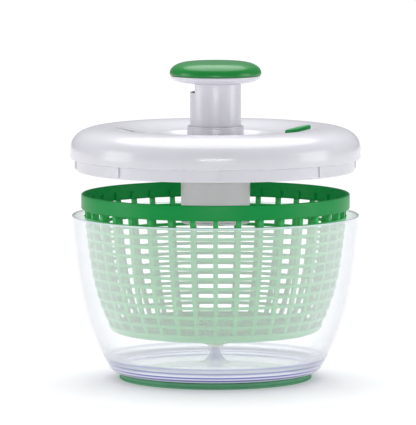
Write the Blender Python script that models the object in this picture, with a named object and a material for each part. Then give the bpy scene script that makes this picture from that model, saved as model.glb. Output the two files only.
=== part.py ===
"""Pump-action salad spinner, as separate pieces.

All lengths below are in millimetres and all angles in degrees; add_mesh turns
lengths into metres.  +Z is up, the origin is the middle of the foot, and +X
points at the brake button.

Heights of the bowl and the basket count from the foot, with the basket seated
on the bowl's pivot.  Heights of the lid count from the seam, where the edge of
the lid meets the rim of the bowl.  The lid stands lifted off by LID_RAISE.
"""

import math

import bmesh
import bpy
from mathutils import Vector

# ---- driving dimensions ----

LID_RAISE = 39.5            # how far the lid stands above its seat on the bowl
GAP = 0.3                   # clearance between pieces that rest on each other

# bowl
RIM_R = 101.5
RIM_Z = 116.0
HEEL_R = 75.2               # where the wall leaves the heel
HEEL_Z = 8.5
FOOT_Z = 4.6                # underside of the bowl's foot
HEEL_ARC_R = 8.04
HEEL_TURN = 59.0            # angle from the flat foot to the leaning wall
WALL_T = 2.2                # bowl wall at the heel
RIM_T = 1.6                 # bowl wall at the rim
FLOOR_Z = 11.0
FLOOR_R = 64.0
PIVOT_R = 3.7               # post in the middle of the bowl that carries the basket
PIVOT_TOP = 23.0

# non-slip ring under the foot
FOOT_RING_IN = 60.0
FOOT_RING_OUT = 68.0
TONGUE_IN = 62.4
TONGUE_OUT = 64.6
TONGUE_TOP = 6.6

# basket, seated
BASKET_R = 94.8
BASKET_TOP = 131.0
BAND_BOTTOM = 120.5
BASKET_T = 2.0
WALL_TOP_R = 92.4
WALL_FOOT_R = 76.1
WALL_FOOT_Z = 41.0
BASKET_FLOOR_R = 66.5
BASKET_BOTTOM = 32.5
RIBS = 36
RIB_ANGLE = 2.4
WINDOW_ROWS = 4
WINDOW_Z = 43.0             # sill of the lowest row of windows
WINDOW_H = 15.8
RING_H = 3.6                # bar between two rows of windows
FLOOR_WINDOWS = (58.0, 28.0)
TEETH = 12
TOOTH_TOP = 125.5
TOOTH_R = 90.8              # inner ends of the drive teeth under the rim
BOSS_R = 9.8                # boss under the middle of the basket
BOSS_BOTTOM = 24.2
BUSH_R = 5.6
BUSH_FLANGE = (7.6, 25.4, 26.6)     # radius, underside and top
BUSH_TOP = 30.6

# lid
COVER_R = 102.5
COVER_EDGE_H = 5.0
CREST_R = 77.0
CREST_H = 22.3
CREST_POWER = 2.5           # superellipse from the edge up to the crest
DISH_R = 45.0               # foot of the gentle inner slope
DISH_H = 17.0
WELL_R = 36.0               # foot of the steep step into the well
WELL_H = 12.0
COVER_T = 2.0
SKIRT_R = 98.2
SKIRT_T = 1.4
SKIRT_BOTTOM = -8.7
BOSS_RING = (25.5, 33.5, 7.0)   # inner radius, outer radius and underside

# plunger, its guide and the spindle
GUIDE_R = 20.0
GUIDE_BORE = 18.3
GUIDE_TOP = 23.0
GUIDE_FLOOR = -36.0
GUIDE_BOTTOM = -38.0
FLANGE_R = 33.0
FLANGE_Z = (4.7, 6.7)
TUBE_R = 18.0
TUBE_T = 1.8
TUBE_BOTTOM = 5.0
TUBE_TOP = 53.0
NUT_H = 8.0
LEAD = 24.0                 # advance of the twisted spindle in one turn
SPINDLE_HALF = (5.0, 2.2)
SPINDLE_TOP = 14.5
COLLAR_Z = (-34.6, -33.0)
SQUARE_HALF = 3.2
KNOB_R = 32.4
KNOB_SPLIT = 58.3           # seam between the knob's base and its soft cap
KNOB_TOP = 68.3
SPRING_R = 13.6
SPRING_WIRE = 0.6
SPRING_TURNS = 6

# turntable under the lid
HUB_R = 24.6
HUB_FOOT_R = 24.2
HUB_BORE = 22.6
HUB_NECK = 21.6
HUB_BOTTOM = -44.0
HUB_FLANGE_R = 36.0
WHEEL_R = 88.8
WHEEL_T = 2.0
WHEEL_RIM = (4.8, 9.4)      # bottom and top of the rim that carries the lugs
TRACK = (51.0, 65.5)        # ring that the brake pad presses on
SPOKES = 8
LUGS = 6
LUG_R = 92.0
RATCHET_TEETH = 24

# brake and drain, both almond-shaped, on the inner slope of the lid
BRAKE_X = 58.0
DRAIN_X = -59.5

# column counts of the turned pieces
WIDE = 36
NARROW = 24
SMALL = 10

COLOURS = {
    "bowl_plastic": ((0.80, 0.86, 0.90, 1), 0.08, 0),
    "green_plastic": ((0.03, 0.45, 0.13, 1), 0.35, 0),
    "soft_green": ((0.02, 0.24, 0.06, 1), 0.6, 0),
    "white_plastic": ((0.82, 0.83, 0.87, 1), 0.22, 0),
    "grey_plastic": ((0.60, 0.60, 0.66, 1), 0.35, 0),
    "acetal": ((0.85, 0.84, 0.78, 1), 0.4, 0),
    "steel": ((0.55, 0.56, 0.58, 1), 0.3, 1),
    "rubber": ((0.10, 0.10, 0.11, 1), 0.8, 0),
}


# ---- shapes of the walls ----

def bowl_radius(z):
    """Outer radius of the bowl's wall at a height above the heel."""
    left = (RIM_Z - z) / (RIM_Z - HEEL_Z)
    straight = 8.0
    return RIM_R - straight * left - (RIM_R - HEEL_R - straight) * left ** 3.1


def bowl_thickness(z):
    """Wall thickness of the bowl, which thins towards the rim."""
    return WALL_T + (RIM_T - WALL_T) * (z - HEEL_Z) / (RIM_Z - HEEL_Z)


def basket_radius(z):
    """Outer radius of the basket's wall between its heel and its rim band."""
    left = (BAND_BOTTOM - z) / (BAND_BOTTOM - WALL_FOOT_Z)
    straight = 8.0
    curved = WALL_TOP_R - WALL_FOOT_R - straight
    return WALL_TOP_R - straight * left - curved * left ** 3.6


def cover_height(r):
    """Height of the lid's top surface at a radius."""
    if r >= CREST_R:
        part = ((r - CREST_R) / (COVER_R - CREST_R)) ** CREST_POWER
        return COVER_EDGE_H + (CREST_H - COVER_EDGE_H) * (1 - part) ** (1 / CREST_POWER)
    if r >= DISH_R:
        return DISH_H + (CREST_H - DISH_H) * ease((r - DISH_R) / (CREST_R - DISH_R))
    if r >= WELL_R:
        return WELL_H + (DISH_H - WELL_H) * ease((r - WELL_R) / (DISH_R - WELL_R))
    return WELL_H


def ease(t):
    """A smooth step from 0 to 1."""
    return (1 - math.cos(math.pi * t)) / 2


# ---- outlines ----

def between(start, end, count):
    """Evenly spaced numbers from start to end, both included."""
    return [start + (end - start) * i / (count - 1) for i in range(count)]


def arc(centre, radius, start, end, count):
    """Points on an arc in the (radius, height) plane."""
    return [
        (centre[0] + radius * math.cos(math.radians(a)),
         centre[1] + radius * math.sin(math.radians(a)))
        for a in between(start, end, count)
    ]


def offset(outline, distance):
    """The outline moved sideways to its right, point by point."""
    moved = []
    for i, (r, z) in enumerate(outline):
        before = outline[max(i - 1, 0)]
        after = outline[min(i + 1, len(outline) - 1)]
        along = Vector((after[0] - before[0], after[1] - before[1])).normalized()
        moved.append((r + along.y * distance, z - along.x * distance))
    return moved


def polar(radius, angle):
    """A point in the plane from its radius and angle."""
    return radius * math.cos(math.radians(angle)), radius * math.sin(math.radians(angle))


def circle(radius, z, columns, centre=(0, 0), turn=0.0):
    """A level ring of points."""
    step = 360 / columns
    return [
        (centre[0] + radius * math.cos(math.radians(turn + step * i)),
         centre[1] + radius * math.sin(math.radians(turn + step * i)), z)
        for i in range(columns)
    ]


def almond(length, width, height, centre_x, points=12):
    """A pointed oval of two arcs, along X.  height is a number or a function of the radius."""
    radius = (length ** 2 + width ** 2) / (4 * width)
    half = math.degrees(math.asin(length / 2 / radius))
    loop = []
    for side in (1, -1):
        for a in between(half, -half, points + 1)[:-1]:
            x = radius * math.sin(math.radians(a)) * side + centre_x
            y = (radius * math.cos(math.radians(a)) - (radius - width / 2)) * side
            z = height(math.hypot(x, y)) if callable(height) else height
            loop.append((x, y, z))
    return loop


def box_loops(low, high):
    """The two loops of an upright box."""
    corners = [(low[0], low[1]), (high[0], low[1]), (high[0], high[1]), (low[0], high[1])]
    return [[(x, y, z) for x, y in corners] for z in (low[2], high[2])]


# ---- objects ----

def clear_scene():
    """Removes whatever the file starts with."""
    for obj in list(bpy.data.objects):
        bpy.data.objects.remove(obj, do_unlink=True)


def material(name):
    """The named material, made once."""
    found = bpy.data.materials.get(name)
    if found:
        return found
    colour, roughness, metallic = COLOURS[name]
    made = bpy.data.materials.new(name)
    made.use_nodes = True
    shader = made.node_tree.nodes["Principled BSDF"]
    shader.inputs["Base Color"].default_value = colour
    shader.inputs["Roughness"].default_value = roughness
    shader.inputs["Metallic"].default_value = metallic
    made.diffuse_color = colour
    return made


def frame(name, location=(0, 0, 0), parent=None):
    """An empty that stands where a body's joint axis passes."""
    empty = bpy.data.objects.new(name, None)
    bpy.context.scene.collection.objects.link(empty)
    empty.location = Vector(location) / 1000
    empty.parent = parent
    return empty


def add_mesh(name, points, faces, finish, parent):
    """One named object from points in millimetres."""
    mesh = bpy.data.meshes.new(name)
    mesh.from_pydata([Vector(p) / 1000 for p in points], [], faces)
    work = bmesh.new()
    work.from_mesh(mesh)
    bmesh.ops.recalc_face_normals(work, faces=work.faces)
    work.to_mesh(mesh)
    work.free()
    mesh.materials.append(material(finish))
    mesh.shade_smooth()
    mesh.set_sharp_from_angle(angle=math.radians(35))
    obj = bpy.data.objects.new(name, mesh)
    bpy.context.scene.collection.objects.link(obj)
    obj.parent = parent
    return obj


def lofted(name, loops, finish, parent, joined=False, slats=False):
    """Skins a row of loops.  The ends are joined to each other, or capped with one face each,
    or with slats across a loop that is symmetrical about X, because that one need not be flat.
    """
    count = len(loops[0])
    points = [p for loop in loops for p in loop]
    faces = []
    pairs = len(loops) if joined else len(loops) - 1
    for k in range(pairs):
        low, high = k * count, (k + 1) % len(loops) * count
        for i in range(count):
            j = (i + 1) % count
            faces.append((low + i, low + j, high + j, high + i))
    for start in () if joined else (0, len(points) - count):
        if slats:
            for i in range(count // 2):
                corners = (i, i + 1, count - i - 1, (count - i) % count)
                faces.append(tuple(start + k for k in dict.fromkeys(corners)))
        else:
            faces.append(tuple(range(start, start + count)))
    return add_mesh(name, points, faces, finish, parent)


def turned(name, outline, columns, finish, parent, centre=(0, 0)):
    """A closed (radius, height) outline turned about a vertical axis.

    An outline that starts and ends at radius 0 makes a solid without a bore.
    """
    if outline[0][0] > 0:
        loops = [circle(r, z, columns, centre) for r, z in outline]
        return lofted(name, loops, finish, parent, joined=True)
    rings = outline[1:-1]
    points = [p for r, z in rings for p in circle(r, z, columns, centre)]
    points += [(centre[0], centre[1], outline[0][1]), (centre[0], centre[1], outline[-1][1])]
    first, last = len(points) - 2, len(points) - 1
    top = (len(rings) - 1) * columns
    faces = []
    for i in range(columns):
        j = (i + 1) % columns
        faces.append((first, i, j))
        faces.append((last, top + j, top + i))
        for k in range(0, top, columns):
            faces.append((k + i, k + j, k + columns + j, k + columns + i))
    return add_mesh(name, points, faces, finish, parent)


def combine(obj, tools, operation="DIFFERENCE"):
    """Cuts other shapes out of an object, or joins them to it, and hides the tools."""
    for tool in tools:
        step = obj.modifiers.new(tool.name, "BOOLEAN")
        step.operation = operation
        step.object = tool
        tool.hide_render = True
        tool.display_type = "WIRE"


def screw(name, centre, head, shank, parent):
    """A pan-head screw pointing up.  head and shank are (radius, bottom, top)."""
    dome = 0.5
    outline = [
        (0, head[1]),
        (head[0] - 1.0, head[1]),
        (head[0], head[1] + dome),
        (head[0], head[2]),
        (shank[0], head[2]),
        (shank[0], shank[2] - 0.6),
        (shank[0] - 0.5, shank[2]),
        (0, shank[2]),
    ]
    return turned(name, outline, SMALL, "steel", parent, centre)


def holes(name, centres, radius, bottom, top, parent):
    """Round cutters, one for each centre."""
    return [
        lofted(f"{name}_{i}", [circle(radius, z, SMALL, at, turn=7) for z in (bottom, top)],
               "steel", parent)
        for i, at in enumerate(centres)
    ]


def spots(radius, count, first):
    """Evenly spaced centres on a circle."""
    return [p[:2] for p in circle(radius, 0, count, turn=first)]


def coil(name, centre, radius, wire, bottom, top, turns, sides, finish, parent):
    """A compression spring whose wire centre line runs from bottom to top."""
    per_turn = 12
    steps = turns * per_turn
    loops = []
    for k in range(int(steps) + 1):
        a = math.radians(360 / per_turn * k)
        z = bottom + (top - bottom) * k / int(steps)
        out = Vector((math.cos(a), math.sin(a), 0))
        middle = Vector((centre[0], centre[1], z)) + out * radius
        ring = []
        for i in range(sides):
            b = math.radians(360 / sides * i + 45)
            ring.append(middle + out * wire * math.cos(b) + Vector((0, 0, wire * math.sin(b))))
        loops.append(ring)
    return lofted(name, loops, finish, parent)


# ---- bowl ----

def make_bowl(parent):
    """Clear bowl with a pivot post, and the non-slip ring under its foot."""
    arc_centre = (
        HEEL_R - HEEL_ARC_R * math.sin(math.radians(HEEL_TURN)),
        FOOT_Z + HEEL_ARC_R,
    )
    heights = between(HEEL_Z, RIM_Z - 0.6, 6)
    heel = arc(arc_centre, HEEL_ARC_R, -90, HEEL_TURN - 90, 4)
    outside = heel[:-1] + [(bowl_radius(z), z) for z in heights]
    inner_heights = between(HEEL_Z + 8.5, RIM_Z - 0.6, 5)
    inside = [(bowl_radius(z) - bowl_thickness(z), z) for z in reversed(inner_heights)]
    corner = inside[-1]
    inner_heel = [
        (FLOOR_R + (corner[0] - FLOOR_R) * math.sin(math.radians(a)),
         FLOOR_Z + (corner[1] - FLOOR_Z) * (1 - math.cos(math.radians(a))))
        for a in (55, 28, 0)
    ]
    flare = [(10.0, FLOOR_Z), (5.4, 13.6), (PIVOT_R, 17.0)]
    tip = arc((0, PIVOT_TOP - PIVOT_R), PIVOT_R, 0, 90, 4)
    tip[-1] = (0, PIVOT_TOP)
    rim = [(RIM_R - 0.3, RIM_Z), (RIM_R - RIM_T + 0.3, RIM_Z)]
    core = [(0, 18.0), (1.6, 17.0), (6.0, 8.4), (56.0, 8.4), (58.0, FOOT_Z)]
    groove = [
        (TONGUE_IN - GAP, FOOT_Z),
        (TONGUE_IN - GAP, TONGUE_TOP + GAP),
        (TONGUE_OUT + GAP, TONGUE_TOP + GAP),
        (TONGUE_OUT + GAP, FOOT_Z),
    ]
    outline = core + groove + outside + rim + inside + inner_heel + flare + tip
    turned("bowl", outline, WIDE, "bowl_plastic", parent)

    edge = 0.8
    top = FOOT_Z - GAP
    ring = [
        (FOOT_RING_IN + edge, 0),
        (FOOT_RING_OUT - edge, 0),
        (FOOT_RING_OUT, edge),
        (FOOT_RING_OUT, top),
        (TONGUE_OUT, top),
        (TONGUE_OUT, TONGUE_TOP),
        (TONGUE_IN, TONGUE_TOP),
        (TONGUE_IN, top),
        (FOOT_RING_IN, top),
        (FOOT_RING_IN, edge),
    ]
    turned("non_slip_ring", ring, WIDE, "soft_green", parent)


# ---- lattices ----

def lattice(rows, angles, shut):
    """Points and faces of two skins with windows between them.

    Each row is (outer point, inner point, whether windows open below it).  In those rows the
    windows take the columns for which shut(column) is false.  The first and the last row stay
    open, for the caller to close.
    """
    lines = len(angles)
    points = []
    for skin in (0, 1):
        for row in rows:
            r, z = row[skin]
            points += [(*polar(r, a), z) for a in angles]
    inside = len(rows) * lines
    faces = []
    for k in range(len(rows) - 1):
        upper, lower = k * lines, (k + 1) * lines
        for i in range(lines):
            j = (i + 1) % lines
            if not rows[k][2] or shut(i):
                for skin in (0, inside):
                    faces.append((skin + upper + i, skin + upper + j,
                                  skin + lower + j, skin + lower + i))
                continue
            walls = [(upper + i, upper + j), (lower + i, lower + j)]
            if shut(i - 1):
                walls.append((upper + i, lower + i))
            if shut(i + 1):
                walls.append((upper + j, lower + j))
            faces += [(p, q, inside + q, inside + p) for p, q in walls]
    return points, faces


def bridge(row, lines, inside):
    """Faces that close a lattice along one of its rows."""
    start = row * lines
    ends = [(start + i, start + (i + 1) % lines) for i in range(lines)]
    return [(p, q, inside + q, inside + p) for p, q in ends]


# ---- basket ----

def make_basket(parent):
    """Basket of ribs and rings, with drive teeth inside its rim and a boss under its floor."""
    floor_top = BASKET_BOTTOM + BASKET_T
    rows = [
        ((BASKET_R, z), (BASKET_R - BASKET_T, z), False) for z in (BASKET_TOP, BAND_BOTTOM)
    ]
    for row in reversed(range(WINDOW_ROWS)):
        sill = WINDOW_Z + row * (WINDOW_H + RING_H)
        for z, opens in ((sill + WINDOW_H, True), (sill, False)):
            rows.append(((basket_radius(z), z), (basket_radius(z) - BASKET_T, z), opens))
    rise = WALL_FOOT_Z - BASKET_BOTTOM
    reach = WALL_FOOT_R - BASKET_FLOOR_R
    for a in (90, 50, 0):
        out = math.sin(math.radians(a))
        up = 1 - math.cos(math.radians(a))
        outer = (BASKET_FLOOR_R + reach * out, BASKET_BOTTOM + rise * up)
        inner = (BASKET_FLOOR_R + (reach - BASKET_T) * out, floor_top + (rise - BASKET_T) * up)
        rows.append((outer, inner, False))
    for r, opens in ((FLOOR_WINDOWS[0], True), (FLOOR_WINDOWS[1], False)):
        rows.append(((r, BASKET_BOTTOM), (r, floor_top), opens))

    angles = [360 / RIBS * k + side * RIB_ANGLE / 2 for k in range(RIBS) for side in (-1, 1)]
    lines = len(angles)
    points, faces = lattice(rows, angles, lambda column: column % 2 == 0)
    inside = len(rows) * lines
    faces += bridge(0, lines, inside)

    # the middle has fewer columns; each of its cells meets three of the floor's
    flange_r, flange_low, flange_high = BUSH_FLANGE
    socket = [
        (BOSS_R + 2.5, BASKET_BOTTOM), (BOSS_R, BASKET_BOTTOM - 2.0), (BOSS_R - 0.4, BOSS_BOTTOM),
        (flange_r - 0.4, BOSS_BOTTOM), (flange_r - 0.4, flange_low - GAP),
        (flange_r + 0.5, flange_low - GAP), (flange_r + 0.5, flange_high + GAP),
        (BUSH_R + GAP, flange_high + GAP), (BUSH_R + GAP, BUSH_TOP + GAP),
    ]
    dome = [(16.0, floor_top), (11.0, floor_top + 1.2), (5.0, floor_top + 2.0)]
    share = 3
    columns = lines // share
    for skin, outline, tip in ((0, socket, BUSH_TOP + GAP), (inside, dome, floor_top + 2.2)):
        start = len(points)
        for r, z in outline:
            points += circle(r, z, columns, turn=-RIB_ANGLE / 2)
        points.append((0, 0, tip))
        edge = skin + (len(rows) - 1) * lines
        last = start + (len(outline) - 1) * columns
        for i in range(columns):
            j = (i + 1) % columns
            fan = [edge + (share * i + step) % lines for step in range(share + 1)]
            faces.append(tuple(fan + [start + j, start + i]))
            for k in range(start, last, columns):
                faces.append((k + i, k + j, k + columns + j, k + columns + i))
            faces.append((last + i, last + j, len(points) - 1))
    basket = add_mesh("basket", points, faces, "green_plastic", parent)

    teeth = []
    root = BASKET_R - BASKET_T / 2
    profile = (
        (TOOTH_R + 0.8, BAND_BOTTOM + 0.7), (TOOTH_R, BAND_BOTTOM + 1.3),
        (TOOTH_R, TOOTH_TOP - 0.8), (TOOTH_R + 0.8, TOOTH_TOP),
    )
    for k in range(TEETH):
        turn = 360 / TEETH * k
        loops = []
        for inner, z in profile:
            ends = ((inner, -1), (root, -1), (root, 1), (inner, 1))
            loops.append([(*polar(r, turn + side), z) for r, side in ends])
        teeth.append(lofted(f"tooth_{k + 1}", loops, "green_plastic", parent))
    combine(basket, teeth, "UNION")


def make_pivot_bush(parent):
    """Captive bush in the basket's boss that sits on the tip of the bowl's post."""
    flange_r, flange_low, flange_high = BUSH_FLANGE
    centre = (0, PIVOT_TOP - PIVOT_R)
    seat = arc(centre, PIVOT_R + GAP, 90, 45, 4)
    seat[0] = (0, PIVOT_TOP + GAP)
    outline = seat + [
        (BUSH_R, seat[-1][1]), (BUSH_R, flange_low), (flange_r, flange_low),
        (flange_r, flange_high), (BUSH_R, flange_high), (BUSH_R, BUSH_TOP), (0, BUSH_TOP),
    ]
    turned("pivot_bush", outline, SMALL, "acetal", parent)


# ---- lid ----

def make_cover(parent):
    """Domed lid with a dished middle, bored for the guide, the brake and the drain."""
    climb = [
        (CREST_R + (COVER_R - CREST_R) * math.cos(math.radians(a)) ** (2 / CREST_POWER),
         COVER_EDGE_H + (CREST_H - COVER_EDGE_H) * math.sin(math.radians(a)) ** (2 / CREST_POWER))
        for a in (0, 18, 40, 60, 78)
    ]
    slope = [(r, cover_height(r)) for r in between(CREST_R, DISH_R, 5)]
    step = [(r, cover_height(r)) for r in between(DISH_R, WELL_R, 3)[1:]]
    top = [(COVER_R, 0)] + climb + slope + step
    under = list(reversed(offset(top, -COVER_T)))
    neck = [(GUIDE_R + 3.4, WELL_H), (GUIDE_R + 1.2, 12.8), (GUIDE_R + 0.4, 14.4)]
    ring_in, ring_out, ring_z = BOSS_RING
    floor = WELL_H - COVER_T
    boss = [
        (GUIDE_R + 0.4, floor), (ring_in, floor), (ring_in, ring_z),
        (ring_out, ring_z), (ring_out, floor),
    ]
    cover = turned("lid_cover", top + neck + boss + under, WIDE, "white_plastic", parent)
    room = 0.8
    cuts = [
        lofted("brake_hole", [almond(28 + room, 15 + room, z, BRAKE_X) for z in (5, 30)],
               "steel", parent),
        lofted("drain_hole", [almond(29 + room, 14 + room, z, DRAIN_X) for z in (5, 30)],
               "steel", parent),
    ]
    cuts += holes("pilot_hole", spots(29.5, 4, 45), 1.7, ring_z - 3, 11.0, parent)
    combine(cover, cuts)


def make_lid_base(parent):
    """Ring inside the lid's edge, whose skirt centres the lid in the bowl."""
    shelf = (2.4, 4.0)
    inner = SKIRT_R - SKIRT_T
    outline = [
        (SKIRT_R - 0.5, SKIRT_BOTTOM), (SKIRT_R, SKIRT_BOTTOM + 0.8), (SKIRT_R, shelf[0]),
        (COVER_R - COVER_T - GAP - 0.2, shelf[0]), (COVER_R - COVER_T - GAP - 0.2, shelf[1]),
        (inner, shelf[1]), (inner, SKIRT_BOTTOM),
    ]
    turned("lid_base", outline, WIDE, "white_plastic", parent)


def make_inserts(parent):
    """Brake housing and drain grille, clipped up into the lid's almond holes."""
    def level(below):
        return lambda r: cover_height(r) - below

    clip, clip_bottom = COVER_T + 0.75, COVER_T + 1.9
    housing = [
        almond(28, 15, level(0.3), BRAKE_X),
        almond(28, 15, level(clip), BRAKE_X),
        almond(33, 19, level(clip), BRAKE_X),
        almond(33, 19, level(clip_bottom), BRAKE_X),
        almond(28, 15, level(clip_bottom), BRAKE_X),
        almond(28, 15, 6.6, BRAKE_X),
        circle(3.6, 6.6, 24, (BRAKE_X, 0)),
        circle(3.6, 7.8, 24, (BRAKE_X, 0)),
        almond(25.4, 12.6, 7.8, BRAKE_X),
        almond(25.4, 12.6, level(0.3), BRAKE_X),
    ]
    lofted("brake_housing", housing, "white_plastic", parent, joined=True)

    grille = lofted("drain_grille", [
        almond(29, 14, level(0.3), DRAIN_X),
        almond(29, 14, level(clip), DRAIN_X),
        almond(33, 18, level(clip), DRAIN_X),
        almond(33, 18, level(clip_bottom), DRAIN_X),
    ], "white_plastic", parent, slats=True)
    slots = []
    for k, half in enumerate((2.2, 4.0, 4.6, 4.0, 2.2)):
        x = DRAIN_X + (k - 2) * 4.2
        slots.append(lofted(f"slot_{k}", box_loops((x - 0.9, -half, 5), (x + 0.9, half, 30)),
                            "steel", parent))
    combine(grille, slots)


def make_guide(parent):
    """Sleeve that guides the plunger, with the flange that is screwed to the lid."""
    outline = [
        (GUIDE_BORE, GUIDE_TOP), (GUIDE_BORE, GUIDE_FLOOR), (5.3, GUIDE_FLOOR),
        (5.3, GUIDE_BOTTOM), (GUIDE_R, GUIDE_BOTTOM), (GUIDE_R, -34.8), (19.3, -34.8),
        (19.3, -33.2), (GUIDE_R, -33.2), (GUIDE_R, FLANGE_Z[0]), (FLANGE_R, FLANGE_Z[0]),
        (FLANGE_R, FLANGE_Z[1]), (GUIDE_R, FLANGE_Z[1]), (GUIDE_R, GUIDE_TOP - 0.5),
        (GUIDE_R - 0.5, GUIDE_TOP),
    ]
    guide = turned("plunger_guide", outline, NARROW, "white_plastic", parent)
    combine(guide, holes("screw_hole", spots(29.5, 4, 45), 1.9,
                         FLANGE_Z[0] - 2, FLANGE_Z[1] + 2, parent))
    for k, at in enumerate(spots(29.5, 4, 45)):
        screw(f"guide_screw_{k + 1}", at, (3.0, 2.4, FLANGE_Z[0] - 0.2), (1.4, 0, 10.6), parent)
    retainer = [(19.6, -34.5), (22.0, -34.5), (22.0, -33.5), (19.6, -33.5)]
    turned("retaining_ring", retainer, NARROW, "steel", parent)
    washer = [(5.4, -35.7), (10.0, -35.7), (10.0, -34.9), (5.4, -34.9)]
    turned("thrust_washer", washer, SMALL, "acetal", parent)


# ---- plunger ----

def make_plunger(parent):
    """Tube with its nut and knob."""
    bore = TUBE_R - TUBE_T
    wall = [
        (2.4, TUBE_TOP), (TUBE_R, TUBE_TOP), (TUBE_R, TUBE_BOTTOM), (bore, TUBE_BOTTOM),
        (bore, TUBE_TOP - 2), (2.4, TUBE_TOP - 2),
    ]
    tube = turned("plunger_tube", wall, NARROW, "white_plastic", parent)
    notch = lofted("notch", box_loops((-20, -1.6, 46.6), (-TUBE_R + TUBE_T + 0.4, 1.6, 50.6)),
                   "steel", parent)
    combine(tube, [notch])

    nut_outline = [(0, TUBE_BOTTOM + 0.1), (bore - GAP, TUBE_BOTTOM + 0.1),
                   (bore - GAP, TUBE_BOTTOM + NUT_H), (0, TUBE_BOTTOM + NUT_H)]
    nut = turned("plunger_nut", nut_outline, NARROW, "acetal", parent)
    room = 0.7
    half = [size + room for size in SPINDLE_HALF]
    cutter = lofted("twisted_hole", twisted(half, TUBE_BOTTOM - 1, TUBE_BOTTOM + NUT_H + 1),
                    "steel", parent)
    combine(nut, [cutter])

    under = TUBE_TOP + GAP
    lip = KNOB_SPLIT
    base = [
        (2.4, under), (20.5, under), (24.0, under + 0.7), (28.5, under + 2.4),
        (31.2, lip - 0.8), (31.6, lip), (28.4, lip), (28.4, lip + 3.5), (26.4, lip + 3.5),
        (26.4, under + 4.0), (2.4, under + 4.0),
    ]
    turned("knob_base", base, NARROW, "white_plastic", parent)
    bottom = lip + GAP
    cap = [
        (0, KNOB_TOP - 1.2), (17.5, KNOB_TOP - 0.9), (22.0, KNOB_TOP), (27.5, KNOB_TOP - 0.2),
        (30.8, KNOB_TOP - 1.8), (32.2, KNOB_TOP - 4.4), (KNOB_R, KNOB_TOP - 6.5),
        (KNOB_R - 0.6, bottom), (28.8, bottom), (28.8, KNOB_TOP - 4.6), (0, KNOB_TOP - 4.6),
    ]
    turned("knob_cap", cap, NARROW, "soft_green", parent)
    head = under + 4.0 + 0.2
    pin = [
        (0, head + 1.6), (3.6, head + 1.6), (4.2, head), (2.0, head), (2.0, TUBE_TOP - 7.0),
        (0, TUBE_TOP - 7.6),
    ]
    turned("knob_screw", pin, SMALL, "steel", parent)


def twisted(half, bottom, top):
    """Loops of a flat bar that is twisted evenly from end to end."""
    step = 15.0
    count = int((top - bottom) / LEAD * 360 / step) + 1
    corner = (0.7, 0.86)
    section = [
        (half[0], 0), (half[0] * corner[1], half[1] * corner[0]), (0, half[1]),
        (-half[0] * corner[1], half[1] * corner[0]), (-half[0], 0),
        (-half[0] * corner[1], -half[1] * corner[0]), (0, -half[1]),
        (half[0] * corner[1], -half[1] * corner[0]),
    ]
    loops = []
    for z in between(bottom, top, count):
        a = 2 * math.pi * z / LEAD
        loops.append([(x * math.cos(a) - y * math.sin(a), x * math.sin(a) + y * math.cos(a), z)
                      for x, y in section])
    return loops


def make_spindle(parent):
    """Twisted spindle, and the pawl rotor on its square end."""
    journal_bottom = GUIDE_BOTTOM - GAP
    bar = twisted(SPINDLE_HALF, COLLAR_Z[1], SPINDLE_TOP)
    loops = list(reversed(bar))
    for radius, z in ((9.4, COLLAR_Z[1]), (9.4, COLLAR_Z[0]), (4.8, COLLAR_Z[0]),
                      (4.8, journal_bottom)):
        turn = 360 * COLLAR_Z[1] / LEAD
        loops.append(circle(radius, z, 8, turn=turn))
    diagonal = SQUARE_HALF * math.sqrt(2)
    for z in (journal_bottom, HUB_BOTTOM + 0.8):
        ring = circle(diagonal, z, 4, turn=turn)
        loops.append([p for i in range(4) for p in (ring[i], midpoint(ring[i], ring[(i + 1) % 4]))])
    lofted("drive_screw", loops, "grey_plastic", parent)

    outline = []
    arms, sweep, root, reach, thick = 3, 95.0, 9.0, 8.2, 1.8
    for arm in range(arms):
        start = 360 / arms * arm
        out = between(0, 1, 8)
        outline += [polar(root + reach * t, start + sweep * t) for t in out]
        outline += [polar(root + reach * t - thick, start + sweep * t)
                    for t in reversed(out[2:])]
        outline += [polar(root - 0.4, start + a) for a in (30, 60, 90)]
    rotor = lofted("clutch_rotor", [[(x, y, z) for x, y in outline] for z in (-43.4, -39.2)],
                   "acetal", parent)
    room = 0.2
    hole = [circle(diagonal + room * math.sqrt(2), z, 4, turn=turn) for z in (-46, -36)]
    combine(rotor, [lofted("square_hole", hole, "steel", parent)])


def midpoint(a, b):
    """The point halfway between two others."""
    return tuple((p + q) / 2 for p, q in zip(a, b))


# ---- turntable ----

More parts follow.
